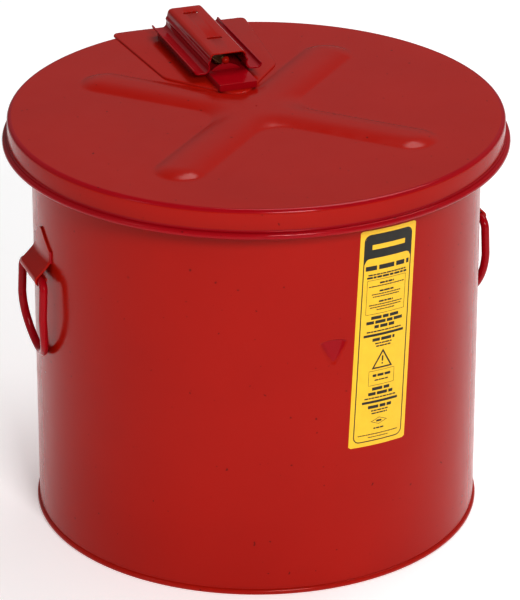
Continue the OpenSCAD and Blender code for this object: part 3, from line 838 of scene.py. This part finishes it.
def rear_bracket():
    """The tank's half of the hinge: a flange on the wall, a shelf, and a barrel curled over the pin."""
    wall_y = WALL_R + PLATE_T / 2
    shelf_z = SHELF_Z + PLATE_T / 2
    back = BACK_Y - PLATE_T / 2
    bend = 2.2 * MM
    line = [(wall_y, z, 1.0) for z in (FLANGE_LOW_Z, FLANGE_LOW_Z + 10 * MM, FLANGE_LOW_Z + 22 * MM,
                                       shelf_z - bend)]
    line += [(y, z, 1.0) for y, z in arc(wall_y + bend, shelf_z - bend, bend, 160, 90, 4)]
    line += [(y, z, 0.0) for y, z in arc(back - bend, shelf_z + bend, bend, -90, 0, 6)]
    line += [(back, shelf_z + (HINGE.z - shelf_z) * t, 0.0) for t in (0.35, 0.7)]
    line += [(y, z, 0.0) for y, z in arc(HINGE.y, HINGE.z, CURL_R, 0, 318, 26)]
    sheet_metal("rear_bracket", across_x(line, -BARREL_HALF, BARREL_HALF, 16), "tank", RED, PLATE_T,
                replaces=["rear_hinge_bracket"])
    webs = []
    for side in (-1, 1):
        inner = side * (BARREL_HALF - PLATE_T)
        wall_in = WALL_R - sag(BARREL_HALF, WALL_R) - 0.2 * MM
        outline = rounded([(wall_in, FLANGE_LOW_Z + 1 * MM), (WALL_R + 3 * MM, FLANGE_LOW_Z + 1 * MM),
                           (BACK_Y - 0.3 * MM, SHELF_Z - 8 * MM), (BACK_Y - 0.3 * MM, SHELF_Z + 0.2 * MM),
                           (wall_in, SHELF_Z + 0.2 * MM)], 1.5 * MM)
        webs.append(prism(outline, facing_side, inner, side * BARREL_HALF))
    bevel(make("rear_bracket_webs", *join(*webs), "tank", RED), 0.3 * MM)
    spot_r, spot_h = 3 * MM, 0.45 * MM
    spots = []
    for x in (-14 * MM, 14 * MM):
        for z in (FLANGE_LOW_Z + 8 * MM, FLANGE_LOW_Z + 22 * MM):
            base_y = WALL_R + PLATE_T - sag(x, WALL_R)
            stations = [(spot_h - h, r) for h, r in dome(spot_r, spot_h, 6)] + [(-0.3 * MM, spot_r)]
            spots.append(spun(stations, lambda d, u, v: Vector((x + u, base_y + d, z + v)), sides=24))
    make("rear_bracket_spot_welds", *join(*spots), "tank", RED)


def lid_hinge():
    """The lid's half of the hinge: a plate between the rear arms of the cross, and two curled barrels."""
    nose_y = low("lid_hinge_plate").y
    shoulder, rear_w, rear_y = (47 * MM, 84 * MM), 57 * MM, 190 * MM
    half = [(5 * MM, nose_y), shoulder, (rear_w, rear_y)]
    blank = prism(rounded(mirrored(half), 6 * MM), flat_on, LID_TOP_Z - 1.1 * MM, LID_TOP_Z + PLATE_T)
    plate = make("lid_hinge_plate_blank", *blank, "lid", RED, replaces=["lid_hinge_plate"])
    bevel(plate, 1.2 * MM, segments=4)
    start = Vector((rear_y, LID_TOP_Z + PLATE_T / 2 - 0.03 * MM))
    to_pin = Vector((HINGE.y, HINGE.z)) - start
    slope = math.atan2(to_pin.y, to_pin.x) + math.asin(CURL_R / to_pin.length)
    down = Vector((math.cos(slope), math.sin(slope)))
    bend = 2.5 * MM
    line = [(rear_y - 9 * MM, start.y, 0.0)]
    for i in range(7):
        t = i / 6
        point = start - Vector((bend, 0)) * (1 - t) ** 2 + down * bend * t * t
        line.append((point.x, point.y, 0.0))
    top = math.degrees(slope) + 90
    line += [(y, z, 0.0) for y, z in arc(HINGE.y, HINGE.z, CURL_R, top, top - 325, 26)]
    for side, word in ((-1, "left"), (1, "right")):
        inner, outer = side * (BARREL_HALF + SIDE_PLAY), side * HINGE_END
        sheet_metal(f"lid_barrel_{word}", across_x(line, inner, outer, 6), "lid", RED, PLATE_T)


def along_x_at(y, z):
    return lambda d, u, v: Vector((d, y + u, z + v))


def pin_and_retainer():
    head_h = 2 * MM
    start = low("hinge_pin").x
    end = high("hinge_pin").x
    pin_r = 2.4 * MM
    stations = [(start + d, r) for d, r in dome(BARREL_R, head_h)]
    stations += [(start + head_h + 0.01 * MM, pin_r), (end - 0.7 * MM, pin_r), (end, pin_r - 0.6 * MM)]
    make("pin", *spun(stations, along_x_at(HINGE.y, HINGE.z)), "tank", ZINC, slot="zinc_steel",
         replaces=["hinge_pin"])
    x0 = low("pin_retainer").x
    ring = [(x0, pin_r), (x0, BARREL_R - 0.9 * MM), (x0 + 0.25 * MM, BARREL_R - 0.1 * MM),
            (x0 + 0.7 * MM, BARREL_R - 0.1 * MM), (x0 + 0.65 * MM, BARREL_R - 0.9 * MM),
            (x0 + 1.0 * MM, pin_r + 0.3 * MM), (x0 + 0.9 * MM, pin_r)]
    make("push_on_retainer", *spun(ring, along_x_at(HINGE.y, HINGE.z), closed=True), "tank", ZINC,
         slot="zinc_steel", replaces=["pin_retainer"])


rear_bracket()
lid_hinge()
pin_and_retainer()


# ---- channel and link bracket ----

CHANNEL_T = 1.2 * MM
CHANNEL_FRONT = low("hinge_channel").y
CHANNEL_REAR = high("hinge_channel").y
CHANNEL_TOP = high("hinge_channel").z
FLANGE_HALF = high("hinge_channel").x
TONGUE_TOP = low("hinge_channel").z
TONGUE_FRONT = low("link_bracket").y
TONGUE_HALF = 15.5 * MM
SEAT_HALF = high("link_bracket").x
SEAT_FRONT = CHANNEL_FRONT + 18 * MM
SLOT_HALF = 6 * MM
SLOT_LEN = 4 * MM
SLOT_PLACES = (CHANNEL_FRONT + 33.5 * MM, CHANNEL_FRONT + 92.5 * MM)
LINK_T = 0.8 * MM
LINK_HALF = high("link_front_strip").x
LINK_Z = low("link_front_strip").z
LINK_FRONT = low("link_front_strip").y
RIVET_Z = (low("link_rivet").z + high("link_rivet").z) / 2
SPRING_Z = (low("link_spring").z + high("link_spring").z) / 2
SPRING_WIRE_R = 0.6 * MM
HOOK_R = 2.6 * MM
HOOK_HOLE_R = 1.6 * MM


def channel_half_section():
    """The sheet's middle line from the middle of the top down to the curled lip: (x, z) points."""
    flare = math.radians(9)
    corner_r, foot_r, lip_r = 3.4 * MM, 4 * MM, 3.6 * MM
    half_t = CHANNEL_T / 2
    corner = (15 * MM - corner_r - half_t, CHANNEL_TOP - corner_r - half_t)
    floor_z = TONGUE_TOP + half_t
    reach = corner_r + foot_r
    run = (corner[1] + reach * math.sin(flare) - foot_r - floor_z) / math.cos(flare)
    foot = (corner[0] + reach * math.cos(flare) + run * math.sin(flare),
            corner[1] + reach * math.sin(flare) - run * math.cos(flare))
    lip = (FLANGE_HALF - lip_r - half_t, floor_z + lip_r)
    points = [(0.0, CHANNEL_TOP - half_t), (3 * MM, CHANNEL_TOP - half_t), (SLOT_HALF, CHANNEL_TOP - half_t)]
    points += arc(corner[0], corner[1], corner_r, 90, 9, 7)
    start, side_out = points[-1], (math.cos(flare), math.sin(flare))
    for i in range(1, 20):
        d = run * i / 20
        ridge = 1.0 * MM * math.exp(-((d - 0.52 * run) / (1.5 * MM)) ** 2)
        points.append((start[0] + d * math.sin(flare) + ridge * side_out[0],
                       start[1] - d * math.cos(flare) + ridge * side_out[1]))
    points += arc(foot[0], foot[1], foot_r, 189, 270, 7)
    points += arc(lip[0], lip[1], lip_r, 270, 360, 7)
    return points


def hat_channel():
    half = channel_half_section()
    section = [(-x, z) for x, z in half[:0:-1]] + half
    middle = len(half) - 1
    ys = [CHANNEL_FRONT, CHANNEL_FRONT + 1 * MM]
    for slot_y in SLOT_PLACES:
        ys += [slot_y - SLOT_LEN / 2, slot_y + SLOT_LEN / 2]
    ys += [CHANNEL_REAR - 1 * MM, CHANNEL_REAR]
    rows = [[Vector((x, y, z)) for x, z in section] for y in ys]
    skip = {(i, j) for i in (2, 4) for j in range(middle - 2, middle + 2)}
    # The channel's sides and flanges, below its top, get painted shade, the darker red.
    sheet_metal("hat_channel", rows, "lid", RED, CHANNEL_T, replaces=["hinge_channel"], skip=skip,
                edge=0.3 * MM, painted_shade_faces=lambda centre: centre.z < CHANNEL_TOP - 2.5 * MM)
    tabs = []
    bend = 0.8 * MM
    for slot_y in SLOT_PLACES:
        rear = slot_y + SLOT_LEN / 2
        bend_y, bend_z = rear + bend + CHANNEL_T / 2, CHANNEL_TOP - bend - CHANNEL_T / 2 - 0.03 * MM
        line = [(y, z, 0.0) for y, z in arc(bend_y, bend_z, bend, 90, 180, 6)]
        line += [(rear + CHANNEL_T / 2, CHANNEL_TOP - 5 * MM, 0.0)]
        tabs.append(across_x(line, -SLOT_HALF, SLOT_HALF, 4))
    for word, rows in zip(("front", "rear"), tabs):
        sheet_metal(f"channel_tab_{word}", rows, "lid", RED, CHANNEL_T, edge=0.2 * MM)


def link_bracket():
    """The pressed bracket under the channel: a narrow tongue in front and a wider seat behind."""
    t = CHANNEL_T
    low_z = LID_TOP_Z + PLATE_T
    outline = [(TONGUE_HALF, TONGUE_FRONT), (TONGUE_HALF, SEAT_FRONT), (SEAT_HALF, SEAT_FRONT),
               (SEAT_HALF, CHANNEL_REAR)]
    hollow = [(x - t, y + t) for x, y in outline]
    # The bracket in the channel's mouth is in the darker red of painted shade.
    body = make("link_bracket_pressing",
                *prism(rounded(mirrored(outline), 1.6 * MM), flat_on, low_z, TONGUE_TOP),
                "lid", SHADED_RED, replaces=["link_bracket"])
    cut(body, *prism(mirrored(hollow), flat_on, low_z - t, TONGUE_TOP - t))
    bevel(body, 1.0 * MM, segments=4)

    post_y = CHANNEL_FRONT + 6 * MM
    half, rise = 12 * MM, 5 * MM
    round_r = (half * half + rise * rise) / (2 * rise)
    reach = math.degrees(math.asin(half / round_r))
    crown = arc(0, TONGUE_TOP + rise - round_r, round_r, 90 + reach, 90 - reach, 20)
    post = crown + [(half, TONGUE_TOP - 0.5 * t), (-half, TONGUE_TOP - 0.5 * t)]
    lug_r = 3 * MM
    lug = [(-lug_r, TONGUE_TOP)] + arc(0, RIVET_Z, lug_r, 180, 0, 16) + [(lug_r, TONGUE_TOP)]
    # The rivet post, its lug and the spring anchor, inside the channel, are in the darker red of painted shade.
    bevel(make("rivet_post", *prism(post, facing_front, post_y, post_y + t), "lid", SHADED_RED), 0.25 * MM)
    lug_solid = prism(lug, facing_front, post_y + 0.02 * MM, post_y + t - 0.02 * MM)
    bevel(make("rivet_lug", *lug_solid, "lid", SHADED_RED), 0.2 * MM)
    anchor_y = high("link_spring").y - SPRING_WIRE_R - HOOK_R + 0.4 * MM
    anchor = [(4 * MM, TONGUE_TOP - t), (4 * MM, SPRING_Z + 1 * MM)]
    anchor_solid = prism(rounded(mirrored(anchor), 1.2 * MM), facing_front, anchor_y, anchor_y + t)
    plate = make("spring_anchor", *anchor_solid, "lid", SHADED_RED)
    cut(plate, *spun([(anchor_y - t, HOOK_HOLE_R), (anchor_y + 2 * t, HOOK_HOLE_R)],
                     lambda d, u, v: Vector((u, d, SPRING_Z - 2 * MM + v)), sides=24))
    bevel(plate, 0.2 * MM)


# ---- fusible link ----

def fusible_link():
    bend = 1.2 * MM
    wall = LINK_FRONT + LINK_T / 2
    mid_z = LINK_Z + LINK_T / 2
    narrow = 2.9 * MM
    line = [(wall, RIVET_Z + 2.4 * MM, 0.7 * narrow), (wall, RIVET_Z + 1.6 * MM, narrow),
            (wall, RIVET_Z, narrow)]
    line += [(y, z, narrow) for y, z in arc(wall + bend, mid_z + bend, bend, 180, 270, 6)]
    line += [(wall + 3 * MM, mid_z, narrow), (wall + 5 * MM, mid_z, LINK_HALF),
             (high("link_front_strip").y, mid_z, LINK_HALF)]
    rows = [[Vector((half * (j / 3 - 1), y, z)) for j in range(7)] for y, z, half in line]
    sheet_metal("front_strip", rows, "lid", BRASS, LINK_T,
                replaces=["link_front_strip"], edge=0.2 * MM, slot="link_brass")
    start, end = low("link_rear_strip").y, high("link_rear_strip").y
    low_z, high_z = low("link_rear_strip").z, high("link_rear_strip").z
    half = [(LINK_HALF, start), (LINK_HALF, end)]
    blank = prism(rounded(mirrored(half), 2.5 * MM), flat_on, low_z, high_z)
    strip = make("rear_strip", *blank, "lid", BRASS, slot="link_brass", replaces=["link_rear_strip"])
    cut(strip, *spun([(low_z - LINK_T, HOOK_HOLE_R), (high_z + LINK_T, HOOK_HOLE_R)],
                     lambda d, u, v: Vector((u, end - 4 * MM + v, d)), sides=24))
    bevel(strip, 0.18 * MM)
    pad_half = LINK_HALF + 0.3 * MM
    pad = mirrored([(pad_half, start - 0.5 * MM), (pad_half, high("link_solder").y + 0.4 * MM)])
    solder = prism(rounded(pad, 2.2 * MM), flat_on, LINK_Z + LINK_T - 0.15 * MM, low_z + 0.15 * MM)
    joint = make("solder_joint", *solder, "lid", SOLDER, slot="solder", replaces=["link_solder"])
    bevel(joint, 0.15 * MM, segments=3)


def rivet():
    head = low("link_rivet").y
    front = LINK_FRONT - CHANNEL_T
    r, shank = high("link_rivet").x, 1.6 * MM
    end = high("link_rivet").y
    stations = [(head + d, rr) for d, rr in dome(r, front - head, 10)]
    tail_r = 2.5 * MM
    stations += [(front + 0.01 * MM, shank), (end - 0.6 * MM, shank), (end - 0.59 * MM, tail_r),
                 (end - 0.2 * MM, tail_r), (end, 0.8 * tail_r)]
    make("rivet", *spun(stations, lambda d, u, v: Vector((u, d, RIVET_Z + v)), sides=40), "lid", RED,
         replaces=["link_rivet"])


def tension_spring():
    """A close-wound coil with a hook at each end."""
    coil_r, turns = 3.6 * MM, 14
    start = low("link_spring").y + 2 * SPRING_WIRE_R + 2 * HOOK_R
    end = high("link_spring").y - 2 * SPRING_WIRE_R - 2 * HOOK_R
    hook_y = start - SPRING_WIRE_R - HOOK_R
    path = [Vector((0, y, z)) for y, z in arc(hook_y, SPRING_Z, HOOK_R, -50, -360, 18)]
    steps = turns * 24
    for i in range(steps + 1):
        a = 2 * math.pi * turns * i / steps + math.pi / 2
        grow = min(1.0, 0.75 + i / 40, 0.75 + (steps - i) / 40)
        path.append(Vector((grow * coil_r * math.cos(a), start + (end - start) * i / steps,
                            SPRING_Z + grow * coil_r * math.sin(a))))
    hook_y = end + SPRING_WIRE_R + HOOK_R
    path += [Vector((0, y, z)) for y, z in arc(hook_y, SPRING_Z, HOOK_R, 160, -150, 18)]
    make("tension_spring", *tube(path, SPRING_WIRE_R, 10), "lid", ZINC, slot="zinc_steel",
         replaces=["link_spring"])


hat_channel()
link_bracket()
fusible_link()
rivet()
tension_spring()


# ---- label ----

LABEL_W = 51 * MM
LABEL_H = 179 * MM
LABEL_Z = (low("tank_label").z + high("tank_label").z) / 2
LABEL_DIR = math.radians(-76.2)
LABEL_LEAN = math.radians(2.8)
FILM_R = WALL_R + 0.3 * MM
INK_R = FILM_R + 0.07 * MM
INK_SINK = 0.1 * MM
INSET = 4 * MM


def on_label(u, down, r):
    """A point of the label: u to the right of its middle, down from its top edge, r from the tank's axis."""
    v = LABEL_H / 2 - down
    across = u * math.cos(LABEL_LEAN) + v * math.sin(LABEL_LEAN)
    up = -u * math.sin(LABEL_LEAN) + v * math.cos(LABEL_LEAN)
    return polar(r, LABEL_DIR + across / WALL_R, LABEL_Z + up)


def ribbon(pairs, low_r, high_r, closed=False):
    """A thin patch on the label between two edges: pairs of (u, down) points."""
    verts = []
    for a, b in pairs:
        verts += [on_label(*a, low_r), on_label(*b, low_r), on_label(*b, high_r), on_label(*a, high_r)]
    faces = grid_faces(len(pairs), 4, closed_rows=closed, closed_cols=True)
    if not closed:
        faces += [(3, 2, 1, 0), tuple(range(len(verts) - 4, len(verts)))]
    return verts, faces


def stroke(points, width, closed=False):
    """A printed line of a width through points, with mitred corners."""
    step = 3 * MM
    dense, ends = [], points + [points[0]] if closed else points
    for a, b in zip(ends, ends[1:]):
        count = max(1, math.ceil(math.dist(a, b) / step))
        dense += [(a[0] + (b[0] - a[0]) * i / count, a[1] + (b[1] - a[1]) * i / count) for i in range(count)]
    if not closed:
        dense.append(ends[-1])
    pairs = []
    count = len(dense)
    for i, point in enumerate(dense):
        behind = dense[i - 1] if closed or i else point
        ahead = dense[(i + 1) % count] if closed or i < count - 1 else point
        normals = []
        for a, b in ((behind, point), (point, ahead)):
            length = math.dist(a, b)
            if length > 0:
                normals.append(Vector((-(b[1] - a[1]) / length, (b[0] - a[0]) / length)))
        normal = sum(normals, Vector((0, 0))).normalized()
        reach = width / 2 / max(normal.dot(normals[0]), 0.4)
        pairs.append(((point[0] - normal.x * reach, point[1] - normal.y * reach),
                      (point[0] + normal.x * reach, point[1] + normal.y * reach)))
    return ribbon(pairs, FILM_R - INK_SINK, INK_R, closed)


def corner_drop(u, half, r):
    """How far a rounded corner draws the edge in at u."""
    over = max(abs(u) - (half - r), 0.0)
    return r - math.sqrt(max(r * r - over * over, 0.0))


def round_box(half, top, bottom, r):
    """The outline of a box with round corners, as (u, down) points."""
    points = arc(half - r, top + r, r, -90, 0, 6) + arc(half - r, bottom - r, r, 0, 90, 6)
    return points + arc(r - half, bottom - r, r, 90, 180, 6) + arc(r - half, top + r, r, 180, 270, 6)


def evenly_across(half, count=20):
    return [half * (2 * i / count - 1) for i in range(count + 1)]


def word_line(down, width, height):
    """A row of plain blocks where a line of print would be."""
    blocks, x, i = [], 0.0, round(down / MM)
    while x < width:
        length = min(height * (1.6 + 1.1 * ((i * 7) % 5) / 2), width - x)
        blocks.append((x, x + max(length, height * 0.6)))
        x += length + 0.55 * height
        i += 1
    total = blocks[-1][1]
    return [stroke([(a - total / 2, down), (b - total / 2, down)], height) for a, b in blocks]


def label():
    half = LABEL_W / 2
    film_pairs = []
    for u in evenly_across(half, 26):
        drop = corner_drop(u, half, 1.2 * MM)
        film_pairs.append(((u, drop), (u, LABEL_H - drop)))
    make("label_film", *ribbon(film_pairs, WALL_R - 0.2 * MM, FILM_R), "tank", YELLOW, slot="label_film",
         replaces=["tank_label"])

    inner = half - INSET
    header_end = 23 * MM
    header = []
    for u in evenly_across(inner):
        drop = corner_drop(u, inner, 5 * MM)
        header.append(((u, INSET + drop), (u, header_end + drop)))
    ink = [ribbon(header, FILM_R - INK_SINK, INK_R),
           stroke(round_box(inner, INSET, LABEL_H - INSET, 5 * MM), 0.75 * MM, closed=True)]
    for box_half, top, bottom in ((17.5, 41, 69), (11.5, 116.5, 128.5)):
        box = round_box(box_half * MM, top * MM, bottom * MM, 0.6 * MM)
        ink.append(stroke(box, 0.22 * MM, closed=True))
    for rule_half, down in ((18, 86.6), (16, 142.4)):
        ink.append(stroke([(-rule_half * MM, down * MM), (rule_half * MM, down * MM)], 1.9 * MM))
    triangle = [(0, 100.5 * MM), (8.3 * MM, 114.3 * MM), (-8.3 * MM, 114.3 * MM)]
    ink.append(stroke(triangle, 1.1 * MM, closed=True))
    for top, bottom in ((105, 109.3), (110.6, 111.7)):
        ink.append(stroke([(0, top * MM), (0, bottom * MM)], 1.2 * MM))
    lozenge = [(-7 * MM, 159 * MM), (0, 156.3 * MM), (7 * MM, 159 * MM), (0, 161.7 * MM)]
    ink.append(stroke(lozenge, 0.3 * MM, closed=True))

    # Rows of plain blocks: distance down from the top edge, width and height in millimetres
    lines = [(31, 38, 3.6), (36.6, 34, 1.0), (38.8, 36, 1.5), (44, 12, 1.3), (46.3, 32, 0.7),
             (50.6, 13, 1.3), (53, 26, 0.7), (55, 24, 0.7), (59.2, 12, 1.3), (61.6, 30, 0.7),
             (63.6, 28, 0.7), (65.8, 16, 0.7), (72.2, 26, 2.4), (76, 33, 2.4), (79.8, 18, 2.4),
             (83.6, 31, 1.0), (90.6, 20, 2.4), (93.9, 15, 1.0), (96.2, 13, 1.0), (120.5, 16, 2.0),
             (124.5, 12, 1.0), (131.6, 16, 2.4), (135.6, 22, 2.4), (139.2, 28, 1.0), (146.6, 21, 2.4),
             (149.9, 15, 1.0), (152.2, 14, 1.0), (159, 5, 1.4), (165, 9, 1.1), (169.6, 36, 0.7),
             (172, 18, 0.6)]
    for down, width, height in lines:
        ink += word_line(down * MM, width * MM, height * MM)
    make("label_print", *join(*ink), "tank", BLACK, slot="label_film")
    verts, faces = stroke([(-15 * MM, 14 * MM), (15 * MM, 14 * MM)], 4.0 * MM)
    lift = 1 + 0.05 * MM / WALL_R
    make("label_header_bar", [Vector((v.x * lift, v.y * lift, v.z)) for v in verts], faces, "tank", YELLOW,
         slot="label_film")


label()


# ---- pieces that keep their CAD shapes get their finish ----

FINISHES = {"red_paint": RED, "zinc_steel": ZINC, "link_brass": BRASS, "solder": SOLDER, "label_film": YELLOW}
for row in frame["record"]["subparts"]:
    node = frame["nodes"][row["node"]]
    node.data.materials.clear()
    node.data.materials.append(FINISHES[row["material_slot"]])
